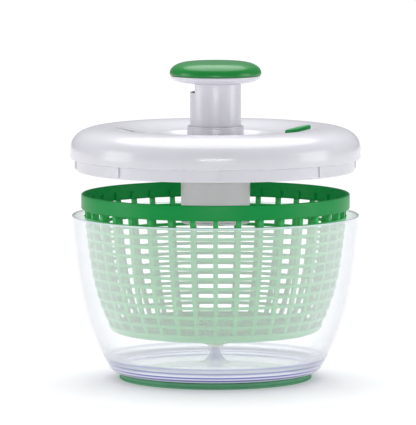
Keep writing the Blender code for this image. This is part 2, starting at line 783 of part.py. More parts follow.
def make_turntable(parent):
    """Hub on its two bearings, the wheel that drives the basket, and the ratchet ring."""
    hub = [
        (HUB_BORE, -0.3), (HUB_BORE, -10.3), (HUB_NECK, -10.3), (HUB_NECK, -26.7),
        (HUB_BORE, -26.7), (HUB_BORE, HUB_BOTTOM), (HUB_FOOT_R, HUB_BOTTOM), (HUB_R, -4.2),
        (HUB_FLANGE_R, -4.2), (HUB_FLANGE_R, -WHEEL_T - GAP), (HUB_R, -WHEEL_T - GAP),
        (HUB_R, -0.3),
    ]
    hub = turned("turntable_hub", hub, NARROW, "white_plastic", parent)
    screws = spots(30.0, 3, 90)
    combine(hub, holes("hub_hole", screws, 1.8, -7, 0, parent))

    make_wheel(screws, parent)
    for k, at in enumerate(screws):
        screw(f"hub_screw_{k + 1}", at, (2.8, -6.3, -4.4), (1.3, 0, 0.6), parent)

    for name, top, bottom in (("upper_bearing", -4.0, -10.0), ("lower_bearing", -27.0, -33.1)):
        outline = [(GUIDE_R + 0.35, top), (GUIDE_R + 0.35, bottom),
                   (HUB_BORE - GAP, bottom), (HUB_BORE - GAP, top)]
        turned(name, outline, NARROW, "acetal", parent)

    columns = RATCHET_TEETH * 2
    top, bottom = -39.0, HUB_BOTTOM + 0.1
    tips = [polar(17.7 if i % 2 else 19.3, 360 / columns * (i - i % 2 + 0.3 * (i % 2)))
            for i in range(columns)]
    rim = [polar(HUB_BORE - GAP, 360 / columns * i) for i in range(columns)]
    lofted("ratchet_ring", [[(x, y, z) for x, y in loop]
                            for loop, z in ((tips, top), (tips, bottom), (rim, bottom), (rim, top))],
           "grey_plastic", parent, joined=True)

    cap = [
        (0, -46.0), (HUB_FOOT_R - 1.0, -46.0), (HUB_FOOT_R, -45.4), (HUB_FOOT_R, HUB_BOTTOM - 0.2),
        (HUB_BORE - GAP, HUB_BOTTOM - 0.2), (0, HUB_BOTTOM - 0.2),
    ]
    turned("hub_cap", cap, NARROW, "white_plastic", parent)


def make_wheel(screws, parent):
    """Spoked wheel on the hub, whose lugs reach between the basket's teeth."""
    low, high = WHEEL_RIM
    wall = WHEEL_R - 1.9
    flat = -WHEEL_T
    rows = [
        ((WHEEL_R, high), (WHEEL_R, low), False),
        ((wall, high), (wall, low), False),
        ((wall, low + 2.2), (wall - 1.4, low), False),
        ((84.0, low + 2.2), (84.0, low + 0.2), True),
        ((TRACK[1], 0), (TRACK[1], flat), False),
        ((TRACK[0], 0), (TRACK[0], flat), True),
        ((38.0, 0), (38.0, flat), False),
        ((33.4, 0), (33.4, flat), False),
        ((33.4, 1.4), (33.0, flat), False),
        ((26.6, 1.4), (27.0, flat), False),
        ((26.6, 0), (26.6, flat), False),
        ((HUB_R + GAP, 0), (HUB_R + GAP, flat), False),
    ]
    columns = SPOKES * 4
    angles = [360 / columns * (i - 0.5) for i in range(columns)]
    points, faces = lattice(rows, angles, lambda column: column % 4 == 0)
    inside = len(rows) * columns
    faces += bridge(0, columns, inside) + bridge(len(rows) - 1, columns, inside)
    wheel = add_mesh("drive_wheel", points, faces, "white_plastic", parent)
    combine(wheel, holes("wheel_pilot", screws, 1.6, -4, 0.9, parent))
    lugs = []
    for k in range(LUGS):
        turn = 360 / LUGS * k + 15
        corners = [polar(WHEEL_R - 1.2, turn - 2.1), polar(LUG_R, turn - 1.9),
                   polar(LUG_R, turn + 1.9), polar(WHEEL_R - 1.2, turn + 2.1)]
        lugs.append(lofted(f"lug_{k + 1}", [[(x, y, z) for x, y in corners]
                                            for z in (low + 0.4, high - 0.6)],
                           "white_plastic", parent))
    combine(wheel, lugs, "UNION")


# ---- brake ----

def make_brake(parent):
    """Almond button on its stem, and the pad that it presses on the drive wheel."""
    def crown(height):
        return lambda r: cover_height(r) + height

    almonds = [(24.0, 11.2, 13.4), (24.0, 11.2, crown(1.2)), (22.4, 9.6, crown(2.3)),
               (15.0, 6.0, crown(3.0))]
    loops = [shifted(almond(length, width, z, BRAKE_X)) for length, width, z in almonds]
    stem = [circle(3.0, z, 24) for z in (4.7, 13.4)]
    lofted("brake_button", stem + loops, "green_plastic", parent, slats=True)
    pad = [(0, 3.1), (6.4, 3.1), (7.0, 3.6), (7.0, 5.7), (3.4, 5.7), (3.4, 4.4), (0, 4.4)]
    turned("brake_pad", pad, SMALL, "rubber", parent)


def shifted(loop):
    """A loop moved so that the brake's axis is its origin."""
    return [(x - BRAKE_X, y, z) for x, y, z in loop]


# ---- assembly ----

def main():
    clear_scene()
    bowl = frame("bowl_frame")
    make_bowl(bowl)

    basket = frame("basket_frame")
    make_basket(basket)
    make_pivot_bush(basket)

    lid = frame("lid_frame", (0, 0, RIM_Z + GAP + LID_RAISE))
    make_cover(lid)
    make_lid_base(lid)
    make_inserts(lid)
    make_guide(lid)

    make_plunger(frame("plunger_frame", parent=lid))
    make_spindle(frame("spindle_frame", parent=lid))
    coil("return_spring", (0, 0), SPRING_R, SPRING_WIRE, GUIDE_FLOOR + 0.9, TUBE_BOTTOM - 0.9,
         SPRING_TURNS, 4, "steel", lid)

    make_turntable(frame("turntable_frame", parent=lid))
    make_brake(frame("brake_frame", (BRAKE_X, 0, 0), lid))
    coil("brake_spring", (BRAKE_X, 0), 4.5, 0.35, 8.3, 12.9, 3, 4, "steel", lid)


main()
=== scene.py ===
"""Looks of the pump salad spinner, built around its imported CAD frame.

Outlines are in millimetres, as (radius, height) pairs.  Heights of the bowl and
the basket count from the foot.  Heights of the lid count from the seam, the
lowest edge of the lid's cover, whose place is read from the frame.
"""

import math

import bmesh
import bpy
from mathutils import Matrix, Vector


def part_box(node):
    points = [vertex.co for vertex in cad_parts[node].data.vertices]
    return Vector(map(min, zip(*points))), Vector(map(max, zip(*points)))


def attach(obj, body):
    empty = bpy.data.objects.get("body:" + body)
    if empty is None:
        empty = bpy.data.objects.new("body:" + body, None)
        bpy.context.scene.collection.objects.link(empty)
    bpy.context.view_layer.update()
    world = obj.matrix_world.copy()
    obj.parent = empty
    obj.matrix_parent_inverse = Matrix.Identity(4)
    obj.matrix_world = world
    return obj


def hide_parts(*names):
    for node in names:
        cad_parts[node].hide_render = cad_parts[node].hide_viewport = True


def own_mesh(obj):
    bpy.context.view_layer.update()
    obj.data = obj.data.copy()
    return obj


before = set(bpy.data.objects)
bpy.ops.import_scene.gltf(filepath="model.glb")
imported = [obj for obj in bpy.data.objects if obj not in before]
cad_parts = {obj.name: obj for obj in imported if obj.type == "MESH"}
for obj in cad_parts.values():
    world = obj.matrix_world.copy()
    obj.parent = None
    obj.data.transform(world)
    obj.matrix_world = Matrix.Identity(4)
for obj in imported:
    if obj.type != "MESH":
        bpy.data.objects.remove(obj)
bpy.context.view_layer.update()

MM = 0.001


def edge_of(node, corner, axis):
    """One coordinate of a CAD node's box, in millimetres."""
    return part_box(node)[corner][axis] / MM


# ---- sizes read from the frame ----

SEAM = edge_of("lid_cover", 0, 2)
COVER_R = edge_of("lid_cover", 1, 0)
CREST_H = edge_of("lid_cover", 1, 2) - SEAM
SKIRT_BOTTOM = edge_of("lid_base", 0, 2) - SEAM
RIM_Z = edge_of("bowl", 1, 2)
RIM_R = edge_of("bowl", 1, 0)
FOOT_Z = edge_of("bowl", 0, 2)
BASKET_R = edge_of("basket", 1, 0)
BASKET_TOP = edge_of("basket", 1, 2)
GUIDE_TOP = edge_of("plunger_guide", 1, 2) - SEAM
TUBE_R = edge_of("plunger_tube", 1, 0)
TUBE_BOTTOM = edge_of("plunger_tube", 0, 2) - SEAM
TUBE_TOP = edge_of("plunger_tube", 1, 2) - SEAM
KNOB_R = edge_of("knob_cap", 1, 0)
KNOB_TOP = edge_of("knob_cap", 1, 2) - SEAM
KNOB_SPLIT = edge_of("knob_cap", 0, 2) - SEAM
HUB_BOTTOM = edge_of("turntable_hub", 0, 2) - SEAM
FOOT_RING_OUT = edge_of("non_slip_ring", 1, 0)

# ---- sizes shared with the CAD source ----

GAP = 0.3
HEEL_R, HEEL_Z = 75.2, 8.5
HEEL_ARC_R, HEEL_TURN = 8.04, 59.0
WALL_T, RIM_T = 2.2, 1.6
FLOOR_Z, FLOOR_R = 11.0, 64.0
PIVOT_R, PIVOT_TOP = 3.7, 23.0
FOOT_RING_IN = 60.0
TONGUE_IN, TONGUE_OUT, TONGUE_TOP = 62.4, 64.6, 6.6
BAND_BOTTOM = 120.5
WALL_TOP_R, WALL_FOOT_R, WALL_FOOT_Z = 92.4, 76.1, 41.0
BASKET_FLOOR_R, BASKET_BOTTOM = 66.5, 32.5
COVER_EDGE_H, COVER_T = 5.0, 2.0
CREST_R, CREST_POWER = 77.0, 2.5
DISH_R, DISH_H = 45.0, 17.0
WELL_R, WELL_H = 36.0, 12.0
SKIRT_R, SKIRT_T = 98.2, 1.4
GUIDE_R, GUIDE_BORE = 20.0, 18.3
HUB_R, HUB_FOOT_R = 24.6, 24.2
BRAKE_X, BRAKE_SIZE, BRAKE_CLIP = 58.0, (28, 15), (33, 19)
DRAIN_X, DRAIN_SIZE, DRAIN_CLIP = -59.5, (29, 14), (33, 18)
CLIP_TOP, CLIP_BOTTOM = COVER_T + 0.75, COVER_T + 1.9      # below the lid's top surface
GUIDE_SCREW_R, HUB_SCREW_R = 29.5, 30.0

# ---- lattice of the basket, which is finer than the CAD's ----

RIBS = 36
RIB_ANGLE = 2.1
WINDOW_ROWS = 12
WINDOW_PITCH = 7.0
WINDOW_H = 4.9
TOP_WINDOW_Z = 117.8
LATTICE_T = 1.3             # from the ribs' outer face to the rings' inner face
RING_PROUD = 0.7            # rings stand out of the ribs on the outside
RIB_PROUD = 1.4             # ribs stand out of the rings on the inside
RIB_TOP = 125.5
WINDOW_COLUMNS = 3          # columns of faces between two ribs
FLOOR_WINDOWS = 4           # rings of windows in the floor, from the outermost inwards
FLOOR_WINDOW_R, FLOOR_WINDOW_PITCH, FLOOR_WINDOW_W = 61.0, 9.0, 6.0

# ---- fineness of the meshes ----

ROUND = 180                 # columns of the wide turned pieces
SMALL_ROUND = 96
SHARP_ANGLE = 38            # edges that bend by more degrees than this stay sharp


# ---- shapes shared with the CAD source ----

def bowl_radius(z):
    """Outer radius of the bowl's wall at a height above the heel."""
    left = (RIM_Z - z) / (RIM_Z - HEEL_Z)
    straight = 8.0
    return RIM_R - straight * left - (RIM_R - HEEL_R - straight) * left ** 3.1


def bowl_thickness(z):
    """Wall thickness of the bowl, which thins towards the rim."""
    return WALL_T + (RIM_T - WALL_T) * (z - HEEL_Z) / (RIM_Z - HEEL_Z)


def basket_radius(z):
    """Outer radius of the basket's wall between its heel and its rim band."""
    left = max(0, (BAND_BOTTOM - z) / (BAND_BOTTOM - WALL_FOOT_Z))
    straight = 8.0
    curved = WALL_TOP_R - WALL_FOOT_R - straight
    return WALL_TOP_R - straight * left - curved * left ** 3.6


def ease(t):
    """A smooth step from 0 to 1."""
    return (1 - math.cos(math.pi * t)) / 2


def cover_height(r):
    """Height of the lid's top surface at a radius."""
    if r >= CREST_R:
        part = ((r - CREST_R) / (COVER_R - CREST_R)) ** CREST_POWER
        return COVER_EDGE_H + (CREST_H - COVER_EDGE_H) * (1 - part) ** (1 / CREST_POWER)
    if r >= DISH_R:
        return DISH_H + (CREST_H - DISH_H) * ease((r - DISH_R) / (CREST_R - DISH_R))
    if r >= WELL_R:
        return WELL_H + (DISH_H - WELL_H) * ease((r - WELL_R) / (DISH_R - WELL_R))
    return WELL_H


# ---- outlines ----

def between(start, end, count):
    """Evenly spaced numbers from start to end, both included."""
    return [start + (end - start) * i / (count - 1) for i in range(count)]


def arc(centre, radius, start, end, count):
    """Points on an arc in the (radius, height) plane."""
    return [
        (centre[0] + radius * math.cos(math.radians(a)),
         centre[1] + radius * math.sin(math.radians(a)))
        for a in between(start, end, count)
    ]


def offset(outline, distance):
    """The outline moved sideways to its right, point by point."""
    moved = []
    for i, (r, z) in enumerate(outline):
        before = outline[max(i - 1, 0)]
        after = outline[min(i + 1, len(outline) - 1)]
        along = Vector((after[0] - before[0], after[1] - before[1])).normalized()
        moved.append((r + along.y * distance, z - along.x * distance))
    return moved


def rounded(outline, radius, steps=3):
    """The closed outline with each corner cut by a small curve.  Corners on the axis stay."""
    result = []
    count = len(outline)
    for i, corner in enumerate(outline):
        here = Vector(corner)
        back = Vector(outline[i - 1]) - here
        on = Vector(outline[(i + 1) % count]) - here
        reach = min(radius, back.length * 0.45, on.length * 0.45)
        if here.x < 1e-6 or back.angle(on) > math.radians(165):
            result.append(corner)
            continue
        start, end = here + back.normalized() * reach, here + on.normalized() * reach
        for t in between(0, 1, steps + 1):
            bent = start * (1 - t) ** 2 + here * 2 * t * (1 - t) + end * t ** 2
            result.append((bent.x, bent.y))
    return result


def polar(radius, angle):
    """A point in the plane from its radius and angle."""
    return radius * math.cos(math.radians(angle)), radius * math.sin(math.radians(angle))


def circle(radius, z, columns, centre=(0, 0)):
    """A level ring of points."""
    points = [polar(radius, 360 / columns * i) for i in range(columns)]
    return [(centre[0] + x, centre[1] + y, z) for x, y in points]


def almond(length, width, height, centre_x, points=32):
    """A pointed oval of two arcs, along X.  height is a number or a function of the radius."""
    radius = (length ** 2 + width ** 2) / (4 * width)
    half = math.degrees(math.asin(length / 2 / radius))
    loop = []
    for side in (1, -1):
        for a in between(half, -half, points + 1)[:-1]:
            x = radius * math.sin(math.radians(a)) * side + centre_x
            y = (radius * math.cos(math.radians(a)) - (radius - width / 2)) * side
            z = height(math.hypot(x, y)) if callable(height) else height
            loop.append((x, y, z))
    return loop


# ---- making pieces ----

def add_mesh(name, points, faces, finish, lift=0.0):
    """A mesh object from points in millimetres, raised by lift."""
    mesh = bpy.data.meshes.new(name)
    mesh.from_pydata([(x * MM, y * MM, (z + lift) * MM) for x, y, z in points], [], faces)
    work = bmesh.new()
    work.from_mesh(mesh)
    bmesh.ops.recalc_face_normals(work, faces=work.faces)
    work.to_mesh(mesh)
    work.free()
    mesh.materials.append(finish)
    mesh.shade_smooth()
    mesh.set_sharp_from_angle(angle=math.radians(SHARP_ANGLE))
    obj = bpy.data.objects.new(name, mesh)
    bpy.context.scene.collection.objects.link(obj)
    return obj


def lofted(name, loops, finish, lift=0.0, joined=False, slats=False):
    """Skins a row of loops.  The ends are joined to each other, or capped with one face each,
    or with slats across a loop that is symmetrical about X.
    """
    count = len(loops[0])
    points = [p for loop in loops for p in loop]
    faces = []
    pairs = len(loops) if joined else len(loops) - 1
    for k in range(pairs):
        low, high = k * count, (k + 1) % len(loops) * count
        for i in range(count):
            j = (i + 1) % count
            faces.append((low + i, low + j, high + j, high + i))
    for start in () if joined else (0, len(points) - count):
        if slats:
            for i in range(count // 2):
                corners = (i, i + 1, count - i - 1, (count - i) % count)
                faces.append(tuple(start + k for k in dict.fromkeys(corners)))
        else:
            faces.append(tuple(range(start, start + count)))
    return add_mesh(name, points, faces, finish, lift)


def turned(name, outline, finish, lift=0.0, columns=ROUND, centre=(0, 0)):
    """A closed (radius, height) outline turned about a vertical axis."""
    if outline[0][0] > 0:
        loops = [circle(r, z, columns, centre) for r, z in outline]
        return lofted(name, loops, finish, lift, joined=True)
    rings = outline[1:-1]
    points = [p for r, z in rings for p in circle(r, z, columns, centre)]
    points += [(*centre, outline[0][1]), (*centre, outline[-1][1])]
    first, last = len(points) - 2, len(points) - 1
    top = (len(rings) - 1) * columns
    faces = []
    for i in range(columns):
        j = (i + 1) % columns
        faces.append((first, i, j))
        faces.append((last, top + j, top + i))
        for k in range(0, top, columns):
            faces.append((k + i, k + j, k + columns + j, k + columns + i))
    return add_mesh(name, points, faces, finish, lift)


def cut(obj, tools, operation="DIFFERENCE"):
    """Applies Boolean steps to an object, keeps its shading and deletes the tools."""
    source = obj.copy()
    source.data = obj.data.copy()
    bpy.context.scene.collection.objects.link(source)
    for tool in tools:
        step = obj.modifiers.new("cut", "BOOLEAN")
        step.operation = operation
        step.object = tool
    apply_modifiers(obj)
    step = obj.modifiers.new("normals", "DATA_TRANSFER")
    step.object = source
    step.use_loop_data = True
    step.data_types_loops = {"CUSTOM_NORMAL"}
    step.loop_mapping = "POLYINTERP_LNORPROJ"
    step.use_max_distance = True
    step.max_distance = 0.02 * MM
    apply_modifiers(obj)
    for spare in [*tools, source]:
        bpy.data.objects.remove(spare, do_unlink=True)


def apply_modifiers(obj):
    """Replaces an object's mesh by what its modifiers make of it."""
    graph = bpy.context.evaluated_depsgraph_get()
    graph.update()
    made = bpy.data.meshes.new_from_object(obj.evaluated_get(graph))
    obj.modifiers.clear()
    obj.data = made


def bevel(obj, width, segments, angle):
    """Rounds an object's sharp edges."""
    step = obj.modifiers.new("edges", "BEVEL")
    step.width = width * MM
    step.segments = segments
    step.limit_method = "ANGLE"
    step.angle_limit = math.radians(angle)
    step.harden_normals = False


def stand_for(obj, nodes, body):
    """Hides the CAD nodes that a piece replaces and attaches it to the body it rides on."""
    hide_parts(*nodes)
    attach(obj, body)


# ---- materials ----

def shader_tree(name):
    """A new material, its nodes, its links and its Principled shader."""
    made = bpy.data.materials.new(name)
    made.use_nodes = True
    tree = made.node_tree
    return made, tree, tree.nodes["Principled BSDF"]


def noise(tree, scale, detail, coords, roughness=0.5):
    """A noise texture in object space.  scale is in features per metre."""
    node = tree.nodes.new("ShaderNodeTexNoise")
    node.inputs["Scale"].default_value = scale
    node.inputs["Detail"].default_value = detail
    node.inputs["Roughness"].default_value = roughness
    tree.links.new(coords, node.inputs["Vector"])
    return node.outputs["Fac"]


def object_space(tree):
    """The socket with a point's place on the object, in metres."""
    return tree.nodes.new("ShaderNodeTexCoord").outputs["Object"]


def ramp(tree, value, stops):
    """A colour ramp from (position, colour) stops."""
    node = tree.nodes.new("ShaderNodeValToRGB")
    elements = node.color_ramp.elements
    while len(elements) < len(stops):
        elements.new(0.5)
    for element, (place, colour) in zip(elements, stops):
        element.position = place
        element.color = (*colour, 1)
    tree.links.new(value, node.inputs["Fac"])
    return node.outputs["Color"]


def stretched(tree, value, low, high):
    """A value from 0..1 mapped to low..high."""
    node = tree.nodes.new("ShaderNodeMapRange")
    node.inputs["To Min"].default_value = low
    node.inputs["To Max"].default_value = high
    tree.links.new(value, node.inputs["Value"])
    return node.outputs["Result"]


def scaled(tree, value, low, high):
    """A value from low..high mapped to 0..1."""
    node = tree.nodes.new("ShaderNodeMapRange")
    node.inputs["From Min"].default_value = low
    node.inputs["From Max"].default_value = high
    tree.links.new(value, node.inputs["Value"])
    return node.outputs["Result"]


def blend(tree, factor, first, second):
    """A mix of two colours, each a socket or an (r, g, b) tuple."""
    node = tree.nodes.new("ShaderNodeMix")
    node.data_type = "RGBA"
    tree.links.new(factor, node.inputs["Factor"])
    for socket, value in (("A", first), ("B", second)):
        if isinstance(value, tuple):
            node.inputs[socket].default_value = (*value, 1)
        else:
            tree.links.new(value, node.inputs[socket])
    return node.outputs["Result"]


def combined(tree, operation, first, second, clamped=False):
    """A Math node on a socket and a second socket or number."""
    node = tree.nodes.new("ShaderNodeMath")
    node.operation = operation
    node.use_clamp = clamped
    tree.links.new(first, node.inputs[0])
    if isinstance(second, float):
        node.inputs[1].default_value = second
    else:
        tree.links.new(second, node.inputs[1])
    return node.outputs["Value"]


def height_of(tree, coords):
    """The socket with the height of a point in object space."""
    split = tree.nodes.new("ShaderNodeSeparateXYZ")
    tree.links.new(coords, split.inputs["Vector"])
    return split.outputs["Z"]


def radius_of(tree, coords):
    """The socket with the distance of a point from the vertical axis."""
    flat = tree.nodes.new("ShaderNodeVectorMath")
    flat.operation = "MULTIPLY"
    flat.inputs[1].default_value = (1, 1, 0)
    tree.links.new(coords, flat.inputs[0])
    radius = tree.nodes.new("ShaderNodeVectorMath")
    radius.operation = "LENGTH"
    tree.links.new(flat.outputs["Vector"], radius.inputs[0])
    return radius.outputs["Value"]


def bumped(tree, shader, height, distance, strength=1.0):
    """Bends the shader's normal by a height in metres."""
    node = tree.nodes.new("ShaderNodeBump")
    node.inputs["Distance"].default_value = distance
    node.inputs["Strength"].default_value = strength
    tree.links.new(height, node.inputs["Height"])
    tree.links.new(node.outputs["Normal"], shader.inputs["Normal"])


def shade(colour, factor):
    """A colour made darker or lighter."""
    return tuple(min(1, c * factor) for c in colour)


def moulded(name, colour, rough, grain, depth, coat=0.0, mottle=0.05, shine=0.5, above=None,
             glow=0.0):
    """Moulded plastic or rubber: slightly uneven colour and gloss, and a fine surface grain.

    grain is in grains per metre and depth is their height in metres.  above is a height in
    metres and the colour that takes over there.  glow stands for light that comes through thin
    walls.
    """
    made, tree, shader = shader_tree(name)
    coords = object_space(tree)
    cloud = noise(tree, 60, 3, coords)
    stops = [(0.3, shade(colour, 1 - mottle)), (0.7, shade(colour, 1 + mottle))]
    tint = ramp(tree, cloud, stops)
    if above:
        level, other = above
        soft = 0.0015
        step = scaled(tree, height_of(tree, coords), level - soft, level + soft)
        tint = blend(tree, step, tint, other)
    tree.links.new(tint, shader.inputs["Base Color"])
    if glow:
        tree.links.new(tint, shader.inputs["Emission Color"])
        shader.inputs["Emission Strength"].default_value = glow
    scuffs = noise(tree, 400, 4, coords, 0.6)
    tree.links.new(stretched(tree, scuffs, rough * 0.75, rough * 1.25), shader.inputs["Roughness"])
    bumped(tree, shader, noise(tree, grain, 2, coords), depth)
    shader.inputs["Coat Weight"].default_value = coat
    shader.inputs["Coat Roughness"].default_value = 0.06
    shader.inputs["Specular IOR Level"].default_value = shine
    return made


def turned_steel(name):
    """Bright steel with fine turning marks around the vertical axis."""
    made, tree, shader = shader_tree(name)
    coords = object_space(tree)
    marks = noise(tree, 3000, 2, coords)
    stops = [(0.3, (0.42, 0.43, 0.45)), (0.7, (0.6, 0.61, 0.62))]
    tree.links.new(ramp(tree, marks, stops), shader.inputs["Base Color"])
    tree.links.new(stretched(tree, marks, 0.22, 0.4), shader.inputs["Roughness"])
    shader.inputs["Metallic"].default_value = 1.0
    bumped(tree, shader, marks, 0.00002)
    return made


def clear_plastic(name):
    """The bowl's clear plastic: a thin pale film, denser and greyer where it is seen edge on.

    Greyer where seen edge on is painted shade standing in for refraction, and the film's faint glow
    is painted light.  Bands by height paint the dark and violet refraction lines and the glints at
    the heel, and bands by radius paint refraction shade on the floor's moulded rings and on the
    post.
    Each band is (place, colour, density), with the place from 0 to 1 over its span.  Spans are in
    metres.
    """
    made, tree, shader = shader_tree(name)
    coords = object_space(tree)
    height, radius = height_of(tree, coords), radius_of(tree, coords)
    heel_span, lip_span = (0.0045, 0.0245), (0.1146, 0.1152)
    floor_span, wall_span, post_span = (0.0, 0.1), (0.0655, 0.0662), (0.014, 0.011)
    lip_painted_shade, edge_painted_shade = (0.66, 0.70, 0.78), (0.43, 0.42, 0.50)
    clear, painted_lilac_ring, painted_glint = (0.96, 0.94, 0.98), (0.62, 0.64, 0.80), (0.90, 0.92, 1.00)
    # Painted refraction lines and painted glints for the heel bands; the lowest line is green.
    painted_green_line, first_painted_line = (0.03, 0.10, 0.06), (0.05, 0.05, 0.28)
    second_painted_line, third_painted_line = (0.10, 0.10, 0.36), (0.16, 0.17, 0.36)
    faint_painted_line = (0.35, 0.38, 0.55)
    painted_heel_bands = (
        (0.00, painted_green_line, 0.8), (0.03, painted_green_line, 0.8), (0.05, painted_glint, 0.5),
        (0.08, first_painted_line, 0.8), (0.13, first_painted_line, 0.8), (0.16, painted_glint, 0.5),
        (0.20, second_painted_line, 0.75), (0.23, second_painted_line, 0.75), (0.27, (0.85, 0.88, 0.97), 0.25),
        (0.36, third_painted_line, 0.6), (0.39, third_painted_line, 0.6), (0.43, clear, 0.1),
        (0.52, faint_painted_line, 0.3), (0.54, faint_painted_line, 0.3), (0.60, clear, 0.04), (1.00, clear, 0.0),
    )
    # Painted refraction shade: darker bands at the post, on the real moulded rings at 34 and 55 mm
    # and at the inner heel.
    painted_floor_bands = (
        (0.00, (0.10, 0.13, 0.26), 0.6), (0.06, (0.22, 0.26, 0.42), 0.5), (0.11, clear, 0.2),
        (0.33, clear, 0.2), (0.345, painted_lilac_ring, 0.4), (0.36, clear, 0.2),
        (0.54, clear, 0.2), (0.555, (0.5, 0.53, 0.68), 0.5), (0.57, clear, 0.2),
        (0.64, (0.74, 0.77, 0.9), 0.3), (0.70, clear, 0.2),
    )

    def banded(value, bands):
        colour = ramp(tree, value, [(place, tint) for place, tint, _ in bands])
        density = ramp(tree, value, [(place, (dense,) * 3) for place, _, dense in bands])
        return colour, density

    heel, heel_density = banded(scaled(tree, height, *heel_span), painted_heel_bands)
    floor, floor_density = banded(scaled(tree, radius, *floor_span), painted_floor_bands)
    lip = scaled(tree, height, *lip_span)
    outer = scaled(tree, radius, *wall_span)
    post = scaled(tree, radius, *post_span)
    # Painted shade: the walls and the post turn greyer and denser where seen edge on, standing in
    # for refraction.
    facing = tree.nodes.new("ShaderNodeLayerWeight")
    facing.inputs["Blend"].default_value = 0.35
    grazing = combined(tree, "POWER", facing.outputs["Facing"], 1.6)
    upright = combined(tree, "MULTIPLY", grazing, combined(tree, "MAXIMUM", outer, post))

    # Painted shade: a greyer band along the lip.
    wall = blend(tree, lip, heel, lip_painted_shade)
    tint = blend(tree, upright, blend(tree, outer, floor, wall), edge_painted_shade)
    tree.links.new(tint, shader.inputs["Base Color"])
    # Painted light: the film glows in its own tint, fading to none where the walls and post are
    # seen edge on.
    tree.links.new(tint, shader.inputs["Emission Color"])
    film = stretched(tree, upright, 0.16, 0.8)
    lip_density = (0.25,) * 3
    wall_density = blend(tree, lip, heel_density, lip_density)
    density = blend(tree, outer, floor_density, wall_density)
    tree.links.new(combined(tree, "ADD", film, density, True), shader.inputs["Alpha"])
    tree.links.new(stretched(tree, upright, 0.4, 0.0), shader.inputs["Emission Strength"])

    bumped(tree, shader, noise(tree, 45, 1, coords), 0.0004, 0.3)
    scuffs = noise(tree, 900, 3, coords)
    tree.links.new(stretched(tree, scuffs, 0.03, 0.09), shader.inputs["Roughness"])
    shader.inputs["IOR"].default_value = 1.5
    shader.inputs["Coat Weight"].default_value = 0.6
    shader.inputs["Coat Roughness"].default_value = 0.02
    return made


LID_WHITE = moulded("lid_white", (0.64, 0.632, 0.675), 0.24, 160, 0.00002, coat=0.15,
                    mottle=0.012)
# Painted shade: the drain insert's white plastic is darkened to grey, as if shaded in its recess.
DRAIN_PAINTED_SHADE = moulded("drain_painted_shade", (0.40, 0.40, 0.44), 0.35, 400, 0.0001, mottle=0.02)
TUBE_WHITE = moulded("tube_white", (0.70, 0.69, 0.73), 0.3, 260, 0.00002, coat=0.1,
                     mottle=0.015)
# Painted light: the hub's white plastic is made lighter than the tube's to lift the shade it sits
# in under the lid.
HUB_PAINTED_LIGHT_WHITE = moulded("hub_painted_light_white", (0.93, 0.81, 0.90), 0.3, 260, 0.00002, mottle=0.015)
# Painted light: below the rim band the lattice is a lighter green than the band, though both are
# one plastic, and the glow adds more; both stand in for light through the thin bars.
BASKET_GREEN = moulded("basket_green", (0.03, 0.33, 0.08), 0.38, 700, 0.00008, mottle=0.06,
                       shine=0.2, above=(0.1195, (0.0, 0.215, 0.04)), glow=0.2)
KNOB_GREEN = moulded("knob_green", (0.003, 0.21, 0.03), 0.36, 2600, 0.00004, coat=0.3,
                     mottle=0.04, shine=0.3)
BRAKE_GREEN = moulded("brake_green", (0.004, 0.25, 0.05), 0.4, 1800, 0.00005, mottle=0.04,
                      shine=0.3)
FOOT_GREEN = moulded("foot_green", (0.11, 0.36, 0.19), 0.5, 1500, 0.00008, mottle=0.06,
                     shine=0.3)
NATURAL = moulded("bearing_plastic", (0.72, 0.70, 0.62), 0.42, 900, 0.00006, mottle=0.03)
DRIVE_GREY = moulded("drive_grey", (0.30, 0.31, 0.34), 0.4, 1200, 0.00006, mottle=0.05)
PAD_RUBBER = moulded("pad_rubber", (0.03, 0.03, 0.033), 0.75, 2000, 0.0001, mottle=0.1)
STEEL = turned_steel("steel")
CLEAR = clear_plastic("bowl_clear")


# ---- bowl ----

